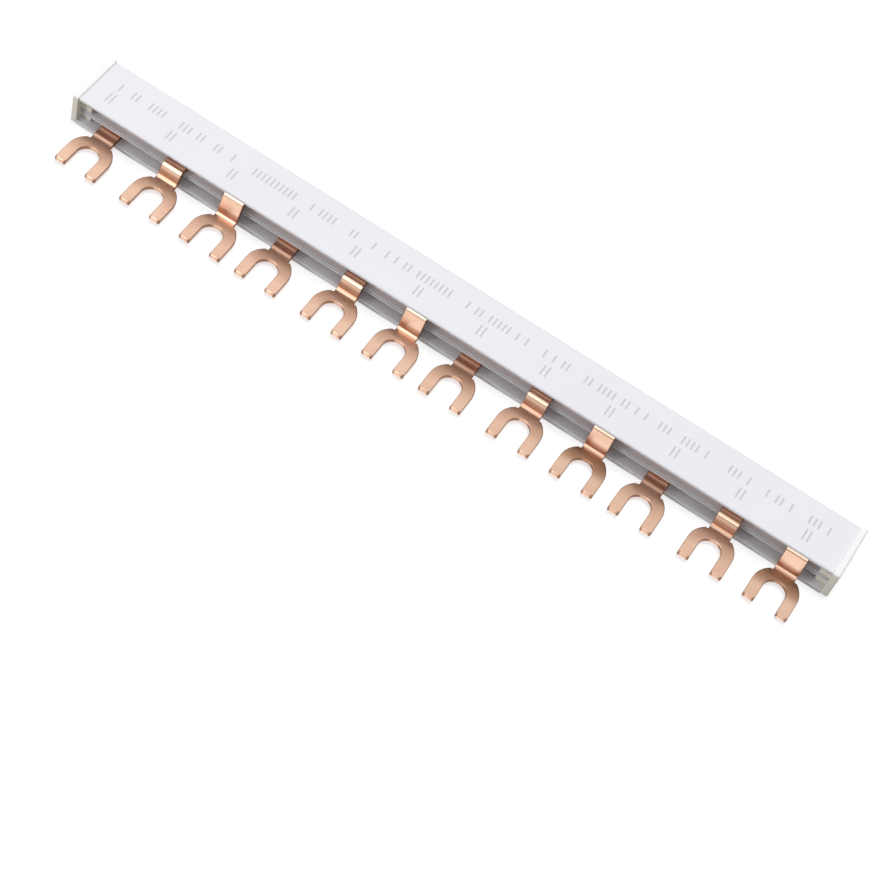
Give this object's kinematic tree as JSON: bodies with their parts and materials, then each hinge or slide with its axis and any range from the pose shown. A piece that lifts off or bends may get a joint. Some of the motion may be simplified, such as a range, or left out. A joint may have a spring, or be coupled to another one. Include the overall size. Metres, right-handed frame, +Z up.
{
  "type": "comb busbar",
  "caption": "Three-phase comb busbar: stamped copper combs with fork terminals in an E-shaped insulating profile with push-in end caps.",
  "frame": {"origin": "under the middle of the whole part, from fork tips to end caps' back and from cap to cap, on the face it rests on", "axes": "+X along the row of forks towards the right end cap, +Y from the fork tips to the back of the profile, +Z up through the top wall"},
  "size_m": [0.2194, 0.0294, 0.0096],
  "materials": {
    "white_plastic": "smooth moulded, satin",
    "ivory_plastic": "smooth moulded, satin",
    "copper": "bare rolled copper, satin"
  },
  "bodies": {
    "root": {"housing": "white_plastic", "end_cap_left": "ivory_plastic", "end_cap_right": "ivory_plastic", "comb_low": "copper", "comb_middle": "copper", "comb_top": "copper"}
  },
  "joints": []
}
